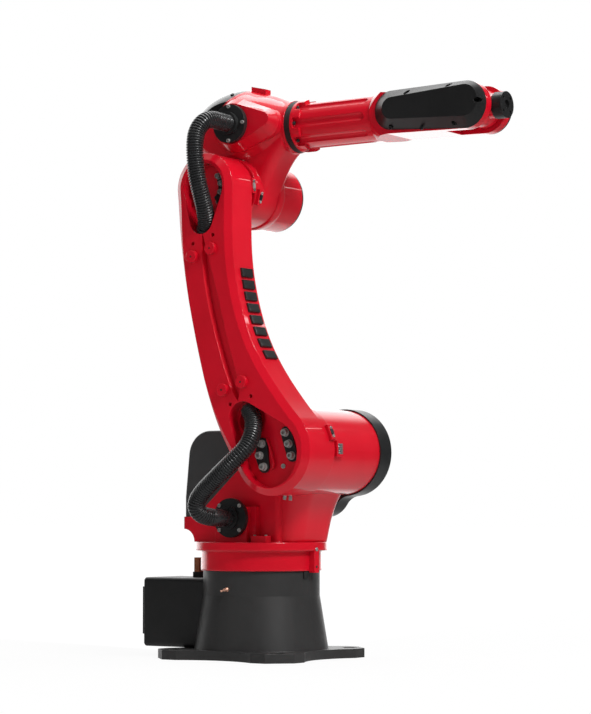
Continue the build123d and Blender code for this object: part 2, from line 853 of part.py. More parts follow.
def make_forearm():
    """Fluted tube, wrist fork, belt cover and far side cover."""
    seal_x = roll_ring_x + running_gap
    tube_x = roll_ring_x + seal_length
    save(disc_x(0, roll_z, roll_radius - 1, seal_x, tube_x), "forearm_seal_ring")

    lobe_x_from = tube_x + forearm_flange_length
    lobe_x_to = lobe_x_from + forearm_lobe_length
    tube = disc_x(0, roll_z, forearm_radius, tube_x, forearm_end_x)
    tube += disc_x(0, roll_z, forearm_flange_radius, tube_x, lobe_x_to)
    flute_end_x = forearm_end_x - 2 * flute_radius
    for step in range(flute_count):
        tube -= flute(360 / flute_count * step, lobe_x_from, flute_end_x)
    save(tube, "forearm_tube")

    half = fork_width / 2
    save(wrist_fork(half), "wrist_housing")
    save(belt_cover(half), "belt_cover")
    far = disc_y(wrist_x, roll_z, fork_end_radius - 1, half, half + far_cover_depth)
    save(far, "far_side_cover")


def wrist_fork(half):
    """Housing between the tube and the wrist, forked round the wrist body."""
    outline = make_face(
        Pos(0, roll_z)
        * Polyline(
            (forearm_end_x, -fork_end_radius),
            (fork_waist_x, -fork_waist),
            (wrist_x, -fork_end_radius),
            (wrist_x, fork_end_radius),
            (fork_waist_x, fork_waist),
            (forearm_end_x, fork_end_radius),
            close=True,
        )
    )
    outline += Pos(wrist_x, roll_z) * Circle(fork_end_radius)
    housing = along_y(outline, -half, half)
    trim = revolve(
        make_face(
            Plane.XZ
            * Pos(0, roll_z)
            * Polyline(
                (forearm_end_x, 0),
                (forearm_end_x, forearm_radius + 3),
                (forearm_end_x + 34, 1.45 * fork_end_radius),
                (wrist_x + 2 * fork_end_radius, 1.45 * fork_end_radius),
                (wrist_x + 2 * fork_end_radius, 0),
                close=True,
            )
        ),
        axis=Axis((0, 0, roll_z), (1, 0, 0)),
    )
    housing = housing & trim
    slot_x = wrist_x - fork_slot_reach
    half_slot = fork_slot / 2
    tall = 2 * fork_end_radius
    return housing - block(
        slot_x, wrist_x + tall, -half_slot, half_slot, roll_z - tall, roll_z + tall
    )


def belt_cover(half):
    """Moulded cover over the wrist belts, with sloping sides and screw notches."""
    base = two_circles(
        wrist_x, roll_z, fork_end_radius, belt_rear_x, roll_z + belt_rear_rise, belt_rear_radius
    )
    face_z = roll_z + belt_face_rise
    face = two_circles(
        belt_face_end_x, face_z, belt_face_end_radius, belt_face_x, face_z, belt_face_radius
    )
    low = Plane.XZ.offset(half) * base
    high = Plane.XZ.offset(half + belt_cover_depth) * face
    cover = loft([low, high])
    seat_y = -half - belt_cover_depth / 4
    for x, z in belt_screws():
        cover -= disc_y(x, z, belt_screw_radius, seat_y, -half - belt_cover_depth - 1)
    return cover


def belt_screws():
    """Places of the cover's screws, in X and Z."""
    low_z = roll_z - fork_end_radius + 9
    high_z = roll_z + fork_end_radius - 9
    return [
        (belt_rear_x + 4, roll_z + belt_rear_rise - belt_rear_radius + 3),
        (belt_rear_x + 80, low_z - 1),
        (wrist_x - 20, low_z),
        (wrist_x + 42, roll_z + 2),
        (wrist_x - 30, high_z),
        (belt_rear_x + 50, high_z - 6),
    ]


def make_wrist():
    """Wrist body between the forks, and the tool flange on its nose."""
    body = disc_y(wrist_x, roll_z, wrist_radius, -wrist_half_width, wrist_half_width)
    body = fillet(body.edges().filter_by(GeomType.CIRCLE), 6)
    body += disc_x(0, roll_z, wrist_neck_radius, wrist_x, wrist_x + wrist_nose)
    save(body, "wrist_body")
    face_x = wrist_x + wrist_nose + running_gap
    end_x = face_x + flange_length
    flange = disc_x(0, roll_z, flange_radius, face_x, end_x)
    flange -= disc_x(0, roll_z, flange_bore_radius, end_x - flange_bore_depth, end_x + 1)
    for turn in range(4):
        y, z = polar(0, roll_z, flange_bolt_circle / 2, 45 + 90 * turn)
        flange -= disc_x(y, z, flange_bolt_hole / 2, end_x - flange_bolt_depth, end_x + 1)
    save(flange, "tool_flange")


def bend_radii(route):
    """Largest arc that fits at each corner of a route, 0.45 of the shorter run from the corner."""
    radii = []
    for before, corner, after in zip(route, route[1:], route[2:]):
        run_in = Vector(*corner) - Vector(*before)
        run_out = Vector(*after) - Vector(*corner)
        turn = math.radians(run_in.get_angle(run_out))
        shorter = min(run_in.length, run_out.length)
        radii.append(0.45 * shorter / math.tan(turn / 2))
    return radii


def make_conduit(route, name, casting):
    """Round tube along a route, and the end fitting that holds it in the lower arm."""
    radii = bend_radii(route)
    path = FilletPolyline(*route, radius=radii)
    section = Plane(origin=path @ 0, z_dir=path % 0) * Circle(conduit_diameter / 2)
    tube = sweep(section, path=path)
    save(tube, name)
    seat = Plane(origin=path @ 1, z_dir=path % 1) * Circle(conduit_end_radius)
    fitting = extrude(seat, amount=2 * conduit_end_length) - casting
    save(largest(fitting), name + "_end")
    ratio = tube.volume / (math.pi * conduit_diameter ** 2 / 4 * path.length)
    print(name, "length", round(path.length), "volume over section times length", round(ratio, 4))
    print("  radii", [round(radius) for radius in radii])


os.makedirs("parts", exist_ok=True)
make_base()
make_turret()
make_lower_arm()
make_elbow()
make_forearm()
make_wrist()
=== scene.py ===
import json
import math

import bmesh
import bpy
from mathutils import Matrix, Vector


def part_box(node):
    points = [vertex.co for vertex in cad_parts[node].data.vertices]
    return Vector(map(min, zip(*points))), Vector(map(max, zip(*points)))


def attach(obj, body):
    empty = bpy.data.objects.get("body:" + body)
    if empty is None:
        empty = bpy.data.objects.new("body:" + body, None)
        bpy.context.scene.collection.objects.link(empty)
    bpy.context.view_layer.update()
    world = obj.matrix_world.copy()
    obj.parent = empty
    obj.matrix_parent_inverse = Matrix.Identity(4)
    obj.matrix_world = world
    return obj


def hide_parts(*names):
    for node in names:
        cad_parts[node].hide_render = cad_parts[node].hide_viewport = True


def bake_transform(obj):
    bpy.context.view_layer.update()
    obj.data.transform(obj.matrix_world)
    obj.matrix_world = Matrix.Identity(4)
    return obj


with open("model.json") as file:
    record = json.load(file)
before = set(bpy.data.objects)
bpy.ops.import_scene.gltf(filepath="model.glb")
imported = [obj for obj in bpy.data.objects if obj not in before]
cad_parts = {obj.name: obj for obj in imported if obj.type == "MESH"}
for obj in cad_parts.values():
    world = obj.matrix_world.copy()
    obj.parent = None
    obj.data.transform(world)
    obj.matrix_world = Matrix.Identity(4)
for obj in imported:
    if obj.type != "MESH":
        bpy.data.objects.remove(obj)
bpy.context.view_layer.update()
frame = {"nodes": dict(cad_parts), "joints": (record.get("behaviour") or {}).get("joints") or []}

# Directions, with the robot facing +X
left, right = (0, -1, 0), (0, 1, 0)
front, rear = (1, 0, 0), (-1, 0, 0)
upward, downward = (0, 0, 1), (0, 0, -1)

# Places that come from the frame, in metres
joints = {joint["name"]: Vector(joint["pos_m"]) for joint in frame["joints"]}
shoulder = joints["shoulder_pitch"]
elbow = joints["elbow_pitch"]
wrist = joints["wrist_pitch"]
roll_z = joints["forearm_roll"].z
recess_floor_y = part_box("shoulder_bolt_plates")[1].y
bolt_plate_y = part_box("shoulder_bolt_plates")[0].y

# Camera, set to the photograph's frame of 591 x 714
camera_place = Vector((3.0676, -4.3545, 0.3155))
camera_ahead = Vector((-0.5644, 0.8255, 0.0))
camera_pitch = math.radians(3.70)
camera_lens = 121.8

# Corrugated conduits: bends from the shoulder axis and from the elbow axis, with Y as it is
conduit_diameter = 0.038
rib_pitch = 0.0054
rib_depth = 0.0027
rings_per_rib = 8
conduit_sides = 40
sleeve_length = 0.046
lower_bends = [
    (-0.159, -0.172, -0.142),
    (-0.167, -0.194, -0.134),
    (-0.168, -0.206, -0.116),
    (-0.153, -0.209, -0.093),
    (-0.123, -0.208, -0.067),
    (-0.090, -0.206, -0.039),
    (-0.062, -0.200, -0.014),
    (-0.046, -0.186, 0.008),
    (-0.043, -0.171, 0.034),
    (-0.049, -0.159, 0.057),
    (-0.057, -0.153, 0.074),
    (-0.067, -0.152, 0.087),
]
upper_bends = [
    (0.023, -0.166, 0.146),
    (0.018, -0.190, 0.139),
    (0.011, -0.205, 0.117),
    (0.010, -0.211, 0.090),
    (0.010, -0.210, 0.062),
    (0.011, -0.207, 0.031),
    (0.013, -0.201, 0.002),
    (0.014, -0.190, -0.026),
    (0.012, -0.176, -0.052),
    (0.005, -0.161, -0.073),
    (-0.001, -0.152, -0.087),
]
turret_port = Vector((-0.007, -0.118, 0.3055))
elbow_port = Vector((elbow.x + 0.0215, -0.110, roll_z + 0.005))
lower_route = [tuple(turret_port), (turret_port.x, -0.144, turret_port.z)]
lower_route += [(shoulder.x + x, y, shoulder.z + z) for x, y, z in lower_bends]
upper_route = [tuple(elbow_port), (elbow_port.x, -0.138, elbow_port.z)]
upper_route += [(elbow.x + x, y, elbow.z + z) for x, y, z in upper_bends]

# Studio: white is 1, its white side lies behind the object, and these rays see it as a picture
white_side = (-0.695, 0.719, 0)
white_edge = (0.62, 0.90)
world_light = 0.30
dark_wall = 0.03
view_rays = ["Is Camera Ray", "Is Glossy Ray", "Is Transmission Ray"]


def make_camera():
    """Camera of the photograph: a long lens, low down, looking slightly up."""
    data = bpy.data.cameras.new("camera")
    data.lens = camera_lens
    data.clip_end = 100
    camera = bpy.data.objects.new("camera", data)
    bpy.context.scene.collection.objects.link(camera)
    ahead = camera_ahead * math.cos(camera_pitch) + Vector((0, 0, math.sin(camera_pitch)))
    camera.location = camera_place
    camera.rotation_mode = "QUATERNION"
    camera.rotation_quaternion = ahead.to_track_quat("-Z", "Y")
    bpy.context.scene.camera = camera
    bpy.context.scene.view_settings.view_transform = "Standard"


class Shading:
    """A node tree, and short calls that add nodes to it."""

    def __init__(self, tree):
        self.nodes = tree.nodes
        self.links = tree.links

    def give(self, socket, value):
        """Link an output to a socket, or set the socket's own value."""
        if isinstance(value, bpy.types.NodeSocket):
            self.links.new(value, socket)
        else:
            socket.default_value = value

    def add(self, kind, **values):
        """A new node, with its sockets given by name."""
        node = self.nodes.new(kind)
        for name, value in values.items():
            self.give(node.inputs[name.replace("_", " ")], value)
        return node

    def place(self):
        """Where a point lies in its object's own axes."""
        return self.nodes.new("ShaderNodeTexCoord").outputs["Object"]

    def ramp(self, value, start, end, low, high, kind="LINEAR"):
        """Value between two places, turned into a range."""
        node = self.add("ShaderNodeMapRange", Value=value)
        node.interpolation_type = kind
        limits = {"From Min": start, "From Max": end, "To Min": low, "To Max": high}
        for name, number in limits.items():
            node.inputs[name].default_value = number
        return node.outputs["Result"]

    def number(self, operation, first, second):
        """Two numbers joined by an operation."""
        node = self.nodes.new("ShaderNodeMath")
        node.operation = operation
        self.give(node.inputs[0], first)
        self.give(node.inputs[1], second)
        return node.outputs[0]

    def vector(self, operation, first, second=None):
        """A vector, or a length or product of vectors."""
        node = self.nodes.new("ShaderNodeVectorMath")
        node.operation = operation
        self.give(node.inputs[0], first)
        if second is not None:
            self.give(node.inputs[1], second)
        is_number = operation in ("LENGTH", "DOT_PRODUCT")
        return node.outputs["Value" if is_number else "Vector"]

    def rays(self, names):
        """One where a ray is any of the named kinds."""
        path = self.nodes.new("ShaderNodeLightPath")
        value = path.outputs[names[0]]
        for name in names[1:]:
            value = self.number("MAXIMUM", value, path.outputs[name])
        return value

    def blend(self, share, first, second):
        """Two shaders mixed."""
        node = self.nodes.new("ShaderNodeMixShader")
        for socket, value in zip(node.inputs, (share, first.outputs[0], second.outputs[0])):
            self.links.new(value, socket)
        return node.outputs[0]


def bare_shading(owner):
    """The emptied node tree of a material or a world."""
    owner.use_nodes = True
    owner.node_tree.nodes.clear()
    return Shading(owner.node_tree)


class Finish(Shading):
    """A material with a Principled shader."""

    def __init__(self, name):
        self.material = bpy.data.materials.new(name)
        self.material.use_nodes = True
        super().__init__(self.material.node_tree)
        self.shader = self.nodes["Principled BSDF"]
        self.spot = self.place()

    def noise(self, scale, detail):
        """Noise that is fixed to the object."""
        node = self.add("ShaderNodeTexNoise", Vector=self.spot, Scale=scale, Detail=detail)
        return node.outputs["Fac"]

    def patches(self, scale, detail, low=0.0, high=1.0, start=0.3):
        """Noise drawn apart into patches of two values."""
        return self.ramp(self.noise(scale, detail), start, 1 - start, low, high)

    def mix(self, share, first, second):
        """Colour between two."""
        node = self.nodes.new("ShaderNodeMix")
        node.data_type = "RGBA"
        self.links.new(share, node.inputs["Factor"])
        node.inputs["A"].default_value = (*first, 1)
        node.inputs["B"].default_value = (*second, 1)
        return node.outputs["Result"]

    def bump(self, height, distance, strength=1.0, normal=None):
        """Surface direction raised by a height."""
        node = self.add("ShaderNodeBump", Height=height, Distance=distance, Strength=strength)
        if normal is not None:
            self.links.new(normal, node.inputs["Normal"])
        return node.outputs["Normal"]

    def rounded(self, radius):
        """Surface direction with the edges rounded off."""
        node = self.add("ShaderNodeBevel", Radius=radius)
        node.samples = 6
        return node.outputs["Normal"]

    def set(self, **values):
        """Set or link the Principled shader's sockets."""
        for name, value in values.items():
            self.give(self.shader.inputs[name.replace("_", " ")], value)


def gloss_paint(name, deep, bright, edge):
    """Thick gloss paint over a casting: two close tones, a clear coat and faint orange peel."""
    finish = Finish(name)
    colour = finish.mix(finish.patches(7.0, 3.0, start=0.35), deep, bright)
    peel = finish.bump(finish.noise(420.0, 1.0), 0.00003, 0.4, finish.rounded(edge))
    finish.set(Base_Color=colour, Roughness=0.38, Normal=peel, Specular_IOR_Level=0.12)
    finish.set(Coat_Weight=1.0, Coat_Roughness=0.03, Coat_IOR=1.45, Coat_Normal=peel)
    return finish.material


def cast_black(name, low, high, roughness, grain, shine=0.5):
    """Satin black powder coat or moulding: fine grain and a slow change of tone."""
    finish = Finish(name)
    colour = finish.mix(finish.patches(9.0, 4.0), low, high)
    surface = finish.bump(finish.noise(2600.0, 2.0), 0.00005, grain, finish.rounded(0.0012))
    worn = finish.patches(60.0, 3.0, roughness - 0.04, roughness + 0.05)
    finish.set(Base_Color=colour, Roughness=worn, Normal=surface, Specular_IOR_Level=shine)
    return finish.material


def bare_metal(name, colour, roughness):
    """Plated or turned metal with fine drawn marks."""
    finish = Finish(name)
    marks = finish.noise(900.0, 3.0)
    darker = [0.86 * share for share in colour]
    tone = finish.mix(finish.ramp(marks, 0.3, 0.7, 0.0, 1.0), darker, colour)
    rough = finish.ramp(marks, 0.3, 0.7, roughness - 0.05, roughness + 0.08)
    finish.set(Base_Color=tone, Metallic=0.55, Roughness=rough)
    return finish.material


def moulded_rubber(name, low, high):
    """Dull rubber with a fine grain."""
    finish = Finish(name)
    grain = finish.bump(finish.noise(1400.0, 3.0), 0.0001, 0.6)
    tone = finish.mix(finish.patches(40.0, 3.0), low, high)
    finish.set(Base_Color=tone, Roughness=0.62, Normal=grain)
    return finish.material


def smooth_nylon(name, low, high):
    """Nylon with a soft shine."""
    finish = Finish(name)
    colour = finish.mix(finish.patches(30.0, 3.0), low, high)
    finish.set(Base_Color=colour, Roughness=finish.patches(200.0, 2.0, 0.24, 0.32))
    return finish.material


def grey(level, tint=0.0):
    """Black or grey, with a slight tint towards blue."""
    return (level, level, level + tint)


red_tones = (0.56, 0.0025, 0.014), (0.62, 0.003, 0.017)
red = gloss_paint("red_gloss_paint", *red_tones, edge=0.0014)
red_soft = gloss_paint("red_gloss_paint_cast", *red_tones, edge=0.005)
black_gloss = gloss_paint("black_gloss_shell", grey(0.006, 0.0005), grey(0.009, 0.0005), edge=0.001)
black_cast = cast_black(
    "black_cast", (0.026, 0.0255, 0.0255), (0.032, 0.0315, 0.0315), roughness=0.42, grain=0.5,
)
# Rear hood: the same cast black as the base, made lighter as painted light for the fill light that
# falls on the hood
black_hood_painted_light = cast_black(
    "black_hood_painted_light", grey(0.042, 0.0005), grey(0.050, 0.0005), roughness=0.44, grain=0.3,
)
black_sheet = cast_black(
    "black_sheet", grey(0.011, 0.0005), grey(0.014, 0.0005), roughness=0.46, grain=0.4,
)
black_cover = cast_black(
    "black_moulding", (0.014, 0.0145, 0.015), (0.019, 0.0195, 0.020), roughness=0.34, grain=0.35,
)
black_belt = cast_black(
    "black_belt_cover", grey(0.0135, 0.0003), grey(0.0165, 0.0003),
    roughness=0.34, grain=0.12, shine=0.25,
)
black_nylon = smooth_nylon("conduit_nylon", (0.015, 0.0155, 0.0165), (0.022, 0.0225, 0.0235))
black_rubber = moulded_rubber("black_rubber", grey(0.010), grey(0.016))
brown_rubber = moulded_rubber("brown_rubber", (0.20, 0.055, 0.018), (0.27, 0.085, 0.028))
steel = bare_metal("plated_steel", (0.50, 0.49, 0.475), roughness=0.30)
worn_steel = bare_metal("worn_steel", (0.24, 0.24, 0.235), roughness=0.26)
dark_steel = bare_metal("blackened_steel", (0.060, 0.060, 0.062), roughness=0.34)
copper = bare_metal("copper_plate", (0.72, 0.40, 0.29), roughness=0.25)


def dress_cad():
    """Give every CAD node that is shown its finish."""
    finishes = {
        red: [
            "conduit_boss", "lower_arm_casting", "elbow_motor_housing", "elbow_conduit_pad",
            "forearm_tube", "wrist_housing", "wrist_body", "turret_mark_tab",
            "turret_cable_lid", "shoulder_mark_turret", "shoulder_mark_arm",
            "elbow_mark_arm", "elbow_mark_hub", "top_block",
        ],
        red_soft: ["turret_casting", "elbow_casting"],
        black_cast: ["base_casting"],
        black_sheet: ["connector_box", "connector_panel", "stop_bracket"],
        black_cover: [
            "shoulder_motor_cover", "far_side_cover",
            "turret_conduit_flange", "elbow_conduit_flange", "elbow_motor_cap",
            "lower_conduit_end", "upper_conduit_end", "connector_sockets",
            "shoulder_bolt_plates",
        ],
        black_hood_painted_light: ["rear_hood"],
        black_gloss: ["rear_cover"],
        black_rubber: ["forearm_seal_ring"],
        brown_rubber: ["stop_rubber"],
        copper: ["grease_nipple"],
        black_belt: ["belt_cover", "tool_flange"],
    }
    for finish, names in finishes.items():
        for name in names:
            data = frame["nodes"][name].data
            data.materials.clear()
            data.materials.append(finish)


def add_piece(name, build, finish, body, smooth=False):
    """Turn a bmesh into a piece of the object that rides on a body."""
    if smooth:
        for face in build.faces:
            face.smooth = len(face.verts) == 4
    mesh = bpy.data.meshes.new(name)
    build.to_mesh(mesh)
    build.free()
    mesh.materials.append(finish)
    piece = bpy.data.objects.new(name, mesh)
    bpy.context.scene.collection.objects.link(piece)
    if body is not None:
        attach(piece, body)
    return piece


def close_rows(build, rows):
    """Faces between rows of vertices, and one over each end."""
    count = len(rows[0])
    for low, high in zip(rows, rows[1:]):
        for side in range(count):
            following = (side + 1) % count
            build.faces.new((low[side], low[following], high[following], high[side]))
    build.faces.new(reversed(rows[0]))
    build.faces.new(rows[-1])


def built_from_rings(rings):
    """Closed form through rings of points."""
    build = bmesh.new()
    close_rows(build, [[build.verts.new(point) for point in ring] for ring in rings])
    return build


def circle(radius):
    """Reach of a circle, the same at every angle."""
    return lambda angle: radius


def hexagon(radius):
    """Reach of a hexagon at an angle, from the radius of its inner circle."""
    sixth = math.pi / 3
    return lambda angle: radius / math.cos((angle % sixth) - sixth / 2)


def revolve(build, outline, sides, stand):
    """Form round +Z from (reach, height) pairs, closed at both ends."""
    rows = []
    for reach, height in outline:
        row = []
        for side in range(sides):
            angle = 2 * math.pi * side / sides
            out = reach(angle)
            point = Vector((out * math.cos(angle), out * math.sin(angle), height))
            row.append(build.verts.new(stand @ point))
        rows.append(row)
    close_rows(build, rows)


def lathe(build, profile, sides, stand):
    """Turned form about +Z from (radius, height) pairs."""
    revolve(build, [(circle(radius), height) for radius, height in profile], sides, stand)


def prism(build, outline, depth, round_off, stand):
    """Plate from an outline in X and Y, standing up along +Z with a slightly drawn-in top."""
    corners = [Vector(point) for point in outline]
    centre = Vector((sum(c.x for c in corners), sum(c.y for c in corners))) / len(corners)
    rows = []
    for inset, height in ((0.0, 0.0), (0.0, depth - round_off), (round_off, depth)):
        row = []
        for corner in corners:
            away = corner - centre
            spot = centre + away * (1 - inset / max(away.length, 1e-6))
            row.append(build.verts.new(stand @ Vector((spot.x, spot.y, height))))
        rows.append(row)
    close_rows(build, rows)


def rectangle(length, width):
    """Corners of a rectangle about its middle."""
    x, y = length / 2, width / 2
    return [(-x, -y), (x, -y), (x, y), (-x, y)]


def ring_sector(inner, outer, start, end):
    """Outline of a bent plate about the origin, between two radii and two angles."""
    steps = 14
    angles = [math.radians(start + (end - start) * step / steps) for step in range(steps + 1)]
    outside = [(outer * math.cos(angle), -outer * math.sin(angle)) for angle in angles]
    inside = [(inner * math.cos(angle), -inner * math.sin(angle)) for angle in reversed(angles)]
    return outside + inside


def turn_to(axis):
    """Rotation that takes +Z to an axis."""
    return Vector(axis).to_track_quat("Z", "Y").to_matrix().to_4x4()


def stand_at(place, axis):
    """Stand at a place with +Z along an axis."""
    return Matrix.Translation(Vector(place)) @ turn_to(axis)


def axes_at(place, up, along):
    """Stand with +Z along one direction and +X near another."""
    z_axis = Vector(up).normalized()
    y_axis = z_axis.cross(Vector(along)).normalized()
    x_axis = y_axis.cross(z_axis)
    stand = Matrix((x_axis, y_axis, z_axis)).transposed().to_4x4()
    stand.translation = place
    return stand


def seat(name, start, ahead):
    """Where a line meets a CAD node, and which way its surface faces there."""
    node = frame["nodes"][name]
    into = node.matrix_world.inverted()
    aim = (into.to_3x3() @ Vector(ahead)).normalized()
    hit, place, normal = node.ray_cast(into @ Vector(start), aim)[:3]
    if not hit:
        raise ValueError("no surface on " + name)
    return node.matrix_world @ place, (node.matrix_world.to_3x3() @ normal).normalized()


def facing(places, axis):
    """The same axis for each place."""
    return [(place, axis) for place in places]


def on_circle(centre, radius, degrees, y):
    """A place on a circle about a pitch axis, seen from the -Y side."""
    angle = math.radians(degrees)
    return Vector((centre.x + radius * math.cos(angle), y, centre.z + radius * math.sin(angle)))


def shoulder_place(x, z, y):
    """A place given in millimetres across and up from the shoulder axis."""
    return Vector((shoulder.x + x / 1000, y, shoulder.z + z / 1000))


def spline_points(name, route):
    """Points of the route's smooth line, read from its own NURBS spline."""
    data = bpy.data.curves.new(name + "_line", "CURVE")
    data.dimensions = "3D"
    data.resolution_u = 24
    spline = data.splines.new("NURBS")
    spline.points.add(len(route) - 1)
    for point, place in zip(spline.points, route):
        point.co = (*place, 1)
    spline.order_u = 3
    spline.use_endpoint_u = True
    holder = bpy.data.objects.new(name + "_line", data)
    bpy.context.scene.collection.objects.link(holder)
    bpy.context.view_layer.update()
    mesh = bpy.data.meshes.new_from_object(holder)
    points = [vertex.co.copy() for vertex in mesh.vertices]
    bpy.data.objects.remove(holder)
    return points


def step_lengths(points):
    """Distances between the points of a line."""
    return [(b - a).length for a, b in zip(points, points[1:])]


def shared_out(points, count):
    """Places that divide a line of points into equal steps."""
    lengths = step_lengths(points)
    total = sum(lengths)
    places = []
    index, passed = 0, 0.0
    for number in range(count + 1):
        wanted = total * number / count
        while index < len(lengths) - 1 and passed + lengths[index] < wanted:
            passed += lengths[index]
            index += 1
        share = min(1.0, (wanted - passed) / max(lengths[index], 1e-9))
        places.append(points[index].lerp(points[index + 1], share))
    return places


def tube_rings(places, radii, sides):
    """Rings of a tube round a line, carried along it without twist."""
    ahead = (places[1] - places[0]).normalized()
    across = ahead.orthogonal().normalized()
    rings = []
    for number, place in enumerate(places):
        before = places[max(0, number - 1)]
        after = places[min(len(places) - 1, number + 1)]
        ahead = (after - before).normalized()
        across = (across - ahead * across.dot(ahead)).normalized()
        up = ahead.cross(across)
        ring = []
        for side in range(sides):
            angle = 2 * math.pi * side / sides
            out = across * math.cos(angle) + up * math.sin(angle)
            ring.append(place + out * radii[number])
        rings.append(ring)
    return rings


def rib_radius(along):
    """Radius of the corrugated wall at a distance along the conduit."""
    share = (along / rib_pitch) % 1.0
    groove = max(0.0, math.cos(2 * math.pi * (share - 0.5))) ** 0.7
    return conduit_diameter / 2 - rib_depth * groove


def make_conduit(name, route, smooth_length):
    """Corrugated conduit from its flange into the lower arm, smooth where a sleeve covers it."""
    line = spline_points(name, route)
    total = sum(step_lengths(line))
    places = shared_out(line, round(total / (rib_pitch / rings_per_rib)))
    radii = []
    for number in range(len(places)):
        along = total * number / (len(places) - 1)
        radii.append(conduit_diameter / 2 if along < smooth_length else rib_radius(along))
    build = built_from_rings(tube_rings(places, radii, conduit_sides))
    piece = add_piece(name + "_ribs", build, black_nylon, None, smooth=True)
    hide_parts(name)
    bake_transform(piece)


def make_conduit_cap(node, route, body):
    """Rounded end where a conduit dips under the edge of the arm."""
    steps, height, groove = 9, 0.014, 0.0006
    points = spline_points(node, route)
    ahead = (points[-1] - points[-2]).normalized()
    radius = conduit_diameter / 2 - groove
    profile = []
    for step in range(steps):
        angle = math.radians(90 * step / steps)
        rib = 0.0 if step % 2 else groove
        profile.append((radius * math.cos(angle) - rib, height * math.sin(angle)))
    profile.append((0.001, height))
    build = bmesh.new()
    lathe(build, profile, conduit_sides, stand_at(points[-1] - 0.001 * ahead, ahead))
    piece = add_piece(node + "_cap", build, black_cover, body)
    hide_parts(node)


def socket_screw(build, stand, radius, height, washer):
    """Socket head screw standing on +Z, with a hexagon socket and, where it has one, a washer."""
    rim = 0.1 * radius
    head, bevelled, socket = circle(radius), circle(radius - rim), hexagon(0.5 * radius)
    top, socket_floor = washer + height, washer + 0.45 * height
    outline = []
    if washer > 0:
        ring = circle(1.25 * radius)
        outline += [(ring, 0.0), (ring, washer)]
    outline += [(head, washer), (head, top - rim), (bevelled, top)]
    outline += [(socket, top), (socket, socket_floor)]
    revolve(build, outline, 36, stand)


def make_screws(name, seats, body, finish, radius, height, washer=0.0):
    """A group of like screws as one piece, each standing on its place along its axis."""
    build = bmesh.new()
    for number, (place, axis) in enumerate(seats):
        twist = Matrix.Rotation(0.5 + 1.3 * number, 4, "Z")
        socket_screw(build, stand_at(place, axis) @ twist, radius, height, washer)
    add_piece(name, build, finish, body)


def make_plate(name, outline, stand, body, finish, depth, round_off):
    """One plate as a piece."""
    build = bmesh.new()
    prism(build, outline, depth, round_off, stand)
    add_piece(name, build, finish, body)


def make_shoulder_screws():
    """Reducer screws and a plug in the shoulder recess of the lower arm."""
    spots = [(25, 37), (34, 13), (41, -12), (-36, 14), (-41, -11), (-31, -35)]
    seats = facing([shoulder_place(x, z, bolt_plate_y) for x, z in spots], left)
    make_screws(
        "shoulder_reducer_screws", seats, "lower_arm", steel,
        radius=0.0072, height=0.0085, washer=0.0018,
    )
    seats = facing([shoulder_place(17, -34, recess_floor_y)], left)
    make_screws("shoulder_plug_screw", seats, "lower_arm", steel, radius=0.0052, height=0.003)


def make_elbow_screws():
    """Two bent black plates in the elbow recess, with their screws, and a plug; the plates are
    painted shade, a dark sheet where the recess floor beside the bolts lies in shadow.
    """
    thickness, inner, outer, half_angle = 0.004, 0.026, 0.0455, 45
    screw_circle, plug_circle, plug_angle = 0.0355, 0.0385, -56
    middles = {"front": 11, "rear": 191}
    stand = axes_at(Vector((elbow.x, recess_floor_y, elbow.z)), left, front)
    # Black bent plates under the screws: painted shade beside the bolts
    for name, middle in middles.items():
        make_plate(
            "elbow_" + name + "_bolt_plate",
            ring_sector(inner, outer, middle - half_angle, middle + half_angle), stand,
            "lower_arm", black_cover, depth=thickness, round_off=0.0,
        )
    angles = [middle + step for middle in middles.values() for step in (-30, 0, 30)]
    head_y = recess_floor_y - thickness
    places = [on_circle(elbow, screw_circle, angle, head_y) for angle in angles]
    make_screws(
        "elbow_reducer_screws", facing(places, left), "lower_arm", steel,
        radius=0.0056, height=0.007, washer=0.0015,
    )
    places = [on_circle(elbow, plug_circle, plug_angle, recess_floor_y)]
    make_screws(
        "elbow_plug_screw", facing(places, left), "lower_arm", steel, radius=0.0045, height=0.003,
    )


def make_boss_screws():
    """Two screws that stand down from the round boss of the lower arm."""
    below = [(x, -0.084, 0.28) for x in (0.121, 0.135)]
    seats = [seat("lower_arm_casting", start, upward) for start in below]
    make_screws("arm_boss_screws", seats, "lower_arm", steel, radius=0.0036, height=0.0095)


def make_stud_caps():
    """Round bosses on the face of the lower arm, each with a small bore drawn as a flat black disc:
    painted shade of the hole.
    """
    radius, height, round_off, bore_radius = 0.0136, 0.0084, 0.0006, 0.0022
    sunk, beside_bore, outside_y = 0.004, 0.0085, -0.4
    along = Vector((elbow.x - shoulder.x, 0, elbow.z - shoulder.z))
    length = along.length
    along = along.normalized()
    across = Vector((along.z, 0, -along.x))
    upper = length - 0.138
    spots = [(-0.076, 0.160), (-0.0235, 0.160), (-0.068, upper), (-0.016, upper)]
    caps, bore_shades = bmesh.new(), bmesh.new()
    for side, distance in spots:
        middle = shoulder + across * side + along * distance
        start = (middle.x + beside_bore, outside_y, middle.z)
        stud_top = seat("lower_arm_casting", start, right)[0]
        stand = stand_at((middle.x, stud_top.y + sunk, middle.z), left)
        profile = [(radius, -0.001), (radius, height - round_off), (radius - 0.0007, height)]
        lathe(caps, profile, 64, stand)
        # Flat black disc just proud of each cap's top: painted shade standing for the dark inside a
        # small bore
        lathe(bore_shades, [(bore_radius, height - 0.0007), (bore_radius, height + 0.00008)], 24, stand)
    for name, build, finish, slot in (
        ("arm_stud_caps", caps, red, "red_paint"),
        # The black rubber disc labelled seal is painted shade of the bores, not a seal
        ("arm_stud_bore_shades", bore_shades, black_rubber, "seal"),
    ):
        piece = add_piece(name, build, finish, "lower_arm", smooth=True)
        piece.data.set_sharp_from_angle(angle=math.radians(30))


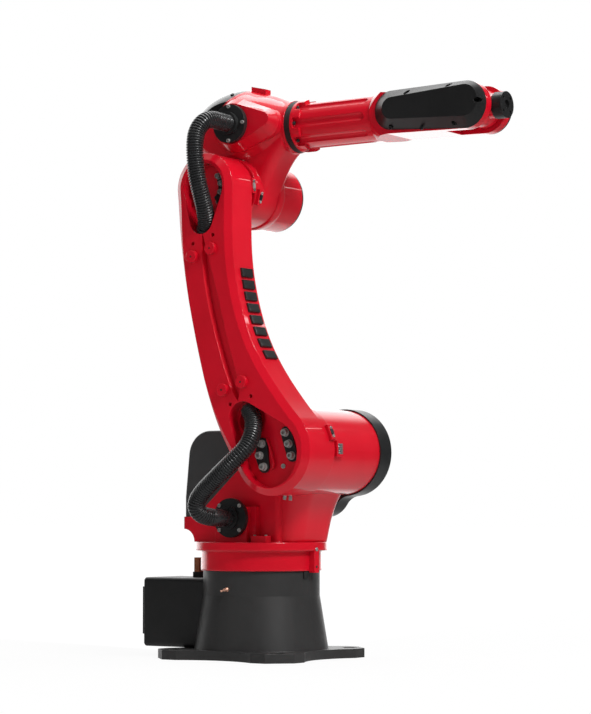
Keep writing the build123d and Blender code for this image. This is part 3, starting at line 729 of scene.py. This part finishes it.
def make_recess_rib():
    """Thin cast rib between the two rows of screws in the shoulder recess."""
    line = [(-21, 24), (-14, 8), (-8, -12), (-4, -28), (-5, -36), (-10, -41)]
    thickness, height, round_off = 0.003, 0.009, 0.0006
    places = [shoulder_place(x, z, recess_floor_y) for x, z in line]
    build = bmesh.new()
    for start, end in zip(places, places[1:]):
        run = end - start
        outline = rectangle(run.length + thickness / 2, thickness)
        prism(build, outline, height, round_off, axes_at((start + end) / 2, left, run))
    add_piece("shoulder_recess_rib", build, red, "lower_arm")


def make_front_bars():
    """Plain black bars along the front wall of the lower arm."""
    count, low_z, pitch, middle_y = 8, 0.653, 0.0258, -0.1195
    length, width, depth, round_off, sunk = 0.040, 0.0195, 0.0062, 0.0012, 0.0005
    build = bmesh.new()
    for number in range(count):
        start = (0.5, middle_y, low_z + pitch * number)
        place, normal = seat("lower_arm_casting", start, rear)
        stand = axes_at(place - sunk * normal, normal, right)
        prism(build, rectangle(length, width), depth, round_off, stand)
    add_piece("arm_front_bars", build, black_cover, "lower_arm")


def mark_face(name, centre, reach, degrees):
    """Middle of a mark block's outer face, the way it faces, and the way round its joint."""
    angle = math.radians(degrees)
    out = Vector((math.cos(angle), 0, math.sin(angle)))
    along = Vector((-math.sin(angle), 0, math.cos(angle)))
    low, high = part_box(name)
    return Vector((centre.x, (low.y + high.y) / 2, centre.z)) + out * reach, out, along


def make_mark_inserts():
    """Inserts and small screws on the alignment blocks of the shoulder and the elbow."""
    spread = 0.0095
    blocks = [
        ("shoulder_mark_arm", shoulder, 0.104, 22, "lower_arm", black_cover, "black_cover", steel),
        ("elbow_mark_arm", elbow, 0.075, 5, "lower_arm", steel, "black_steel", worn_steel),
        ("elbow_mark_hub", elbow, 0.081, -13, "elbow", black_cover, "black_cover", steel),
    ]
    for name, centre, reach, degrees, body, finish, slot, screw_finish in blocks:
        middle, out, along = mark_face(name, centre, reach, degrees)
        make_plate(
            name + "_insert", rectangle(0.012, 0.009), axes_at(middle, out, along),
            body, finish, depth=0.0022, round_off=0.0005,
        )
        places = [middle + along * spread, middle - along * spread]
        make_screws(
            name + "_screws", facing(places, out), body, screw_finish,
            radius=0.0032, height=0.0026,
        )


def make_mark_pins():
    """Row of five round pins across the turret's alignment block."""
    pitch, sunk, half_length = 0.0046, 0.0006, 0.008
    profile = [(0.0019, 0.0), (0.0023, 0.0006), (0.0023, 0.0154), (0.0019, 0.016)]
    middle, out, along = mark_face("shoulder_mark_turret", shoulder, 0.100, 2)
    build = bmesh.new()
    for step in range(-2, 3):
        place = middle + along * pitch * step - out * sunk - Vector((0, half_length, 0))
        lathe(build, profile, 20, stand_at(place, right))
    add_piece("shoulder_mark_turret_insert", build, worn_steel, "turret")


def make_elbow_band():
    """Raised rounded band round the motor end of the elbow hub."""
    hub_radius, start_y = 0.074, 0.013
    rise = [
        (-0.002, 0.0), (0.0008, 0.0), (0.0024, 0.0012), (0.0034, 0.0034), (0.0036, 0.006),
        (0.0036, 0.021), (0.0030, 0.0226), (0.0016, 0.0234), (-0.002, 0.0236),
    ]
    profile = [(hub_radius + out, along) for out, along in rise]
    build = bmesh.new()
    lathe(build, profile, 96, stand_at((elbow.x, start_y, elbow.z), right))
    add_piece("elbow_hub_band", build, red_soft, "elbow", smooth=True)


def make_neck_flare():
    """Cast skin of the turret's neck, flowing outwards into the shoulder at the front."""
    low_z, bend_z, high_z, head_z = 0.2525, 0.288, 0.376, 0.405
    rear_x, left_y, corner = -0.0845, -0.0615, 0.0445
    foot_front_x, foot_right_y = 0.1265, 0.1005
    lean_front, lean_right = 0.024, 0.019
    flare_front, flare_right = 0.026, 0.036
    flare_start_x, flare_run = -0.01, 0.07
    levels, steps, sides = 30, 12, 160
    rings = []
    for level in range(levels + 1):
        z = low_z + (high_z - low_z) * level / levels
        share = (z - low_z) / (head_z - low_z)
        front_x = foot_front_x + lean_front * share
        right_y = foot_right_y + lean_right * share
        rise = max(0.0, (z - bend_z) / (high_z - bend_z))
        flare = 1 - math.sqrt(max(0.0, 1 - rise * rise))
        centres = [
            (front_x - corner, left_y + corner, -90), (front_x - corner, right_y - corner, 0),
            (rear_x + corner, right_y - corner, 90), (rear_x + corner, left_y + corner, 180),
        ]
        ring = []
        for x, y, start in centres:
            for step in range(steps + 1):
                angle = math.radians(start + 90 * step / steps)
                out_x, out_y = math.cos(angle), math.sin(angle)
                spot_x, spot_y = x + corner * out_x, y + corner * out_y
                ahead = min(1.0, max(0.0, (spot_x - flare_start_x) / flare_run))
                ease = ahead * ahead * (3 - 2 * ahead)
                spot_x += flare_front * flare * max(0.0, out_x)
                spot_y += flare_right * flare * max(0.0, out_y) * ease
                ring.append(Vector((spot_x, spot_y, z)))
        rings.append(shared_out(ring + [ring[0]], sides)[:-1])
    build = built_from_rings(rings)
    add_piece("turret_neck_flare", build, red_soft, "turret", smooth=True)


def make_zero_marks():
    """Zero mark on the base, and the screws above it on the turret's ring and tab."""
    place, normal = seat("base_casting", (0.4, -0.017, 0.1825), rear)
    make_plate(
        "base_zero_mark", rectangle(0.0155, 0.012),
        axes_at(place - 0.001 * normal, normal, upward),
        "base", black_rubber, depth=0.0045, round_off=0.0006,
    )
    seats = [seat("turret_casting", (0.3, 0, 0.2375), rear)]
    make_screws("turret_ring_screw", seats, "turret", steel, radius=0.0042, height=0.0022)
    seats = [seat("turret_mark_tab", (0.3, 0, 0.2000), rear)]
    make_screws("turret_tab_screw", seats, "turret", dark_steel, radius=0.0028, height=0.0010)


def make_panel_details():
    """Corner screws of the connector panel, and the contacts in its two sockets."""
    inset = 0.007
    low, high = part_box("connector_panel")
    sides = (low.y + inset, high.y - inset)
    levels = (low.z + inset, high.z - inset)
    seats = facing([Vector((low.x, y, z)) for y in sides for z in levels], rear)
    make_screws(
        "connector_panel_screws", seats, "base", dark_steel, radius=0.0034, height=0.0024,
    )
    socket_y = 0.030
    rings = [(0.0045, 6, 0.0045), (0.0125, 14, 0.0065)]
    pin = [(0.0009, -0.001), (0.0009, 0.0035), (0.0005, 0.0042)]
    middle_z = (low.z + high.z) / 2
    build = bmesh.new()
    for side in (-socket_y, socket_y):
        for radius, count, depth in rings:
            for step in range(count):
                angle = 2 * math.pi * step / count
                y, z = side + radius * math.cos(angle), middle_z + radius * math.sin(angle)
                lathe(build, pin, 10, stand_at((low.x + depth, y, z), rear))
    add_piece("connector_contacts", build, copper, "base")


def make_lid_screws():
    """Two screws in the lid on the turret's ring."""
    inset = 0.007
    low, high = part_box("turret_cable_lid")
    y = (low.y + high.y) / 2
    seats = facing([Vector((x, y, high.z)) for x in (low.x + inset, high.x - inset)], upward)
    make_screws("cable_lid_screws", seats, "turret", steel, radius=0.003, height=0.0022)


def make_motor_cover_screws():
    """Screws round the two lobes of the shoulder motor cover."""
    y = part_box("shoulder_motor_cover")[1].y
    lobe_x, lobe_z = 0.068, 0.369
    places = [on_circle(shoulder, 0.080, angle, y) for angle in (-60, -5, 50, 105, 160)]
    places += [Vector((lobe_x + x, y, lobe_z + z)) for x, z in ((-0.040, -0.012), (0.006, -0.045))]
    make_screws(
        "motor_cover_screws", facing(places, right), "turret", dark_steel,
        radius=0.0044, height=0.003,
    )


def make_round_cover_screws():
    """Screws on circles in the elbow motor's cap and in the far side cover of the wrist."""
    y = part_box("elbow_motor_cap")[1].y
    places = [on_circle(elbow, 0.062, 45 + 90 * step, y) for step in range(4)]
    make_screws(
        "elbow_cap_screws", facing(places, right), "elbow", dark_steel,
        radius=0.004, height=0.0028,
    )
    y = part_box("far_side_cover")[1].y
    places = [on_circle(wrist, 0.039, 18 + 72 * step, y) for step in range(5)]
    make_screws(
        "far_cover_screws", facing(places, right), "forearm", dark_steel,
        radius=0.0034, height=0.0024,
    )


def make_hood_screws():
    """Screws in the rear face and on the top of the rear hood."""
    behind_x, above_z, top_x = -0.4, 0.7, -0.045
    sides, levels = (-0.055, 0.075), (0.322, 0.425)
    seats = [seat("rear_hood", (behind_x, y, z), front) for y in sides for z in levels]
    seats += [seat("rear_hood", (top_x, y, above_z), downward) for y in sides]
    make_screws("rear_hood_screws", seats, "turret", dark_steel, radius=0.0042, height=0.0026)


def make_forearm_screws():
    """Screws of the belt cover and of the forearm tube's flange."""
    tube_low, tube_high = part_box("forearm_tube")
    spots = [
        (tube_high.x + 0.061, -0.0343), (tube_high.x + 0.137, -0.042),
        (wrist.x - 0.020, -0.041), (wrist.x + 0.042, 0.002),
        (wrist.x - 0.030, 0.041), (tube_high.x + 0.107, 0.035),
    ]
    rim_depth = 0.0075
    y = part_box("belt_cover")[1].y - rim_depth
    places = [Vector((x, y, roll_z + z)) for x, z in spots]
    make_screws(
        "belt_cover_screws", facing(places, left), "forearm", dark_steel,
        radius=0.004, height=0.0042,
    )
    count, bolt_circle, flange_thickness = 8, 0.0515, 0.007
    places = []
    for step in range(count):
        angle = 2 * math.pi * step / count
        y, z = bolt_circle * math.cos(angle), roll_z + bolt_circle * math.sin(angle)
        places.append(Vector((tube_low.x + flange_thickness, y, z)))
    make_screws(
        "forearm_flange_screws", facing(places, front), "forearm", dark_steel,
        radius=0.0036, height=0.005,
    )


def make_dome_screws():
    """Four screws round the domed cover at the rear of the elbow."""
    middle = Vector((elbow.x - 0.001, 0, roll_z))
    axis = Vector((-1, 0, 1)).normalized()
    side = Vector((1, 0, 1)).normalized()
    lean = math.radians(52)
    seats = []
    for step in range(4):
        turn = math.radians(90 * step + 45)
        across = side * math.cos(turn) + Vector(right) * math.sin(turn)
        out = axis * math.cos(lean) + across * math.sin(lean)
        seats.append(seat("rear_cover", middle + 0.4 * out, -out))
    make_screws("dome_screws", seats, "elbow", dark_steel, radius=0.0042, height=0.0026)


def make_conduit_flange_screws():
    """Four screws in each conduit flange."""
    bolt_circle, plate_thickness = 0.0375, 0.010
    for name, body, port, first in (
        ("turret_conduit_flange", "turret", turret_port, 45),
        ("elbow_conduit_flange", "elbow", elbow_port, 0),
    ):
        face_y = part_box(name)[1].y - plate_thickness
        places = [on_circle(port, bolt_circle, first + 90 * turn, face_y) for turn in range(4)]
        make_screws(
            name + "_screws", facing(places, left), body, steel, radius=0.0042, height=0.0036,
        )


def make_nipple():
    """Grease nipple with a hexagon foot and a head bent down to the rear."""
    foot, normal = seat("base_casting", (0.0, -0.4, 0.1515), right)
    bent = Vector((-0.66, -0.62, -0.30)).normalized()
    head = [
        (0.0024, -0.002), (0.0031, 0.0), (0.0031, 0.0055), (0.0018, 0.0068), (0.0018, 0.0082),
        (0.0027, 0.0094), (0.0028, 0.0106), (0.0018, 0.0122), (0.0008, 0.0126),
    ]
    build = bmesh.new()
    stand = stand_at(foot - 0.002 * normal, normal)
    lathe(build, [(0.005, 0.0), (0.005, 0.0052), (0.0042, 0.006)], 6, stand)
    lathe(build, [(0.0030, 0.006), (0.0030, 0.0086), (0.0022, 0.0096)], 20, stand)
    lathe(build, head, 20, stand_at(foot + 0.0056 * normal, bent))
    piece = add_piece("grease_nipple_bent", build, copper, "base")
    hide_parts("grease_nipple")


def white_share(shading, strength):
    """Brightness of the white side of the studio at a place on its wall or floor."""
    flat = shading.vector("MULTIPLY", shading.place(), (1, 1, 0))
    aimed = shading.vector("NORMALIZE", flat)
    towards = shading.vector("DOT_PRODUCT", aimed, white_side)
    return shading.ramp(towards, *white_edge, 0.0, strength, "SMOOTHSTEP")


def flat_mesh(name, length, width):
    """Level rectangle about the origin."""
    mesh = bpy.data.meshes.new(name)
    mesh.from_pydata([(x, y, 0) for x, y in rectangle(length, width)], [], [(0, 1, 2, 3)])
    return mesh


def add_stage(name, mesh):
    """Link a mesh that belongs to the studio, with a bare material of its own."""
    piece = bpy.data.objects.new(name, mesh)
    bpy.context.scene.collection.objects.link(piece)
    material = bpy.data.materials.new(name)
    mesh.materials.append(material)
    return piece, bare_shading(material)


def make_floor():
    """White floor that takes a faint shadow near the foot and fades into the background."""
    size = 80.0
    foot, shadow_end, mirror_end = 0.2, 1.6, 3.2
    shading = add_stage("floor", flat_mesh("floor", size, size))[1]
    reach = shading.vector("LENGTH", shading.place())
    fade = shading.ramp(reach, foot, shadow_end, 0.93, 1.0, "SMOOTHSTEP")
    near = shading.ramp(reach, foot, mirror_end, 0.37, 0.05, "SMOOTHSTEP")
    mirrored = shading.number("MAXIMUM", white_share(shading, 1.05), near)
    strength = shading.number("MAXIMUM", shading.rays(["Is Camera Ray"]), mirrored)
    share = shading.number("MULTIPLY", shading.rays(view_rays), fade)
    shade = shading.add("ShaderNodeBsdfDiffuse", Color=(0.8, 0.8, 0.8, 1))
    glow = shading.add("ShaderNodeEmission", Strength=strength)
    shading.add("ShaderNodeOutputMaterial", Surface=shading.blend(share, shade, glow))


def make_world():
    """White behind the object and above it, and an even soft light on it."""
    world = bpy.data.worlds.new("studio")
    bpy.context.scene.world = world
    shading = bare_shading(world)
    seen = shading.add("ShaderNodeBackground", Color=(1, 1, 1, 1))
    lit = shading.add("ShaderNodeBackground", Color=(1, 1, 1, 1), Strength=world_light)
    mixed = shading.blend(shading.rays(view_rays), lit, seen)
    shading.add("ShaderNodeOutputWorld", Surface=mixed)


def only_mirrored(piece, shading, strength):
    """Let only reflections see a studio piece that glows with a strength."""
    piece.visible_camera = False
    piece.visible_diffuse = False
    piece.visible_shadow = False
    piece.visible_transmission = False
    glow = shading.add("ShaderNodeEmission", Strength=strength)
    shading.add("ShaderNodeOutputMaterial", Surface=glow.outputs[0])


def make_wall():
    """Round studio wall: dark, but white behind the object and paler towards the top."""
    radius, low, high = 7.0, -0.5, 14.0
    pale_from, pale_to, pale = 7.5, 13.0, 0.7
    sides = 48
    rows = []
    for z in (low, high):
        for side in range(sides):
            angle = 2 * math.pi * side / sides
            rows.append((radius * math.cos(angle), radius * math.sin(angle), z))
    faces = []
    for side in range(sides):
        following = (side + 1) % sides
        faces.append((side, following, sides + following, sides + side))
    mesh = bpy.data.meshes.new("surround")
    mesh.from_pydata(rows, [], faces)
    wall, shading = add_stage("surround", mesh)
    parts = shading.add("ShaderNodeSeparateXYZ", Vector=shading.place())
    fade = shading.ramp(parts.outputs["Z"], pale_from, pale_to, dark_wall, pale, "SMOOTHSTEP")
    only_mirrored(wall, shading, shading.number("MAXIMUM", white_share(shading, 1.9), fade))


def aim(piece, place, target):
    """Put a lamp or a card at a place, facing a target."""
    piece.location = place
    piece.rotation_mode = "QUATERNION"
    piece.rotation_quaternion = (Vector(target) - Vector(place)).to_track_quat("-Z", "Y")


def make_card(name, place, target, size, strength):
    """Oval glow with a soft edge that only shows in reflections."""
    length, width = size
    card, shading = add_stage(name, flat_mesh(name, length, width))
    aim(card, place, target)
    scaled = shading.vector("MULTIPLY", shading.place(), (2 / length, 2 / width, 0))
    reach = shading.vector("LENGTH", scaled)
    glow = shading.ramp(reach, 0.35, 1.0, strength, dark_wall, "SMOOTHSTEP")
    only_mirrored(card, shading, glow)


def make_lamp(name, place, target, size, power, reflected=True):
    """Soft square lamp aimed at a point, shown in reflections or not."""
    data = bpy.data.lights.new(name, "AREA")
    data.shape = "RECTANGLE"
    data.size, data.size_y = size
    data.energy = power
    lamp = bpy.data.objects.new(name, data)
    bpy.context.scene.collection.objects.link(lamp)
    aim(lamp, place, target)
    lamp.visible_glossy = reflected


make_camera()
make_conduit(
    "lower_conduit", lower_route,
    smooth_length=sleeve_length,
)
make_conduit(
    "upper_conduit", upper_route,
    smooth_length=0.0,
)
dress_cad()
make_conduit_cap("lower_conduit_end", lower_route, "lower_arm")
make_shoulder_screws()
make_elbow_screws()
make_boss_screws()
make_stud_caps()
make_recess_rib()
make_front_bars()
make_mark_inserts()
make_mark_pins()
make_elbow_band()
make_neck_flare()
make_zero_marks()
make_panel_details()
make_lid_screws()
make_motor_cover_screws()
make_round_cover_screws()
make_hood_screws()
make_forearm_screws()
make_dome_screws()
make_conduit_flange_screws()
make_nipple()
make_floor()
make_world()
make_wall()
make_card("strip_card", (1.85, 3.18, 2.53), (0.03, -0.05, 1.04), size=(1.5, 0.12), strength=5.0)
make_card("front_card", (4.2, -2.4, 2.2), (0.1, -0.1, 0.8), size=(2.4, 3.0), strength=1.0)
make_lamp("key", (3.9, -1.1, 4.0), (0.1, -0.1, 0.7), size=(1.4, 1.4), power=214)
make_lamp("fill", (-2.6, -4.2, 1.4), (0.0, 0.0, 0.7), size=(2.0, 2.0), power=26, reflected=False)
make_lamp("top", (0.2, 0.4, 3.6), (0.1, 0.0, 0.6), size=(2.4, 1.2), power=45)
make_lamp("back", (1.8, 3.2, 1.8), (0.1, 0.0, 0.7), size=(1.2, 2.4), power=30, reflected=False)
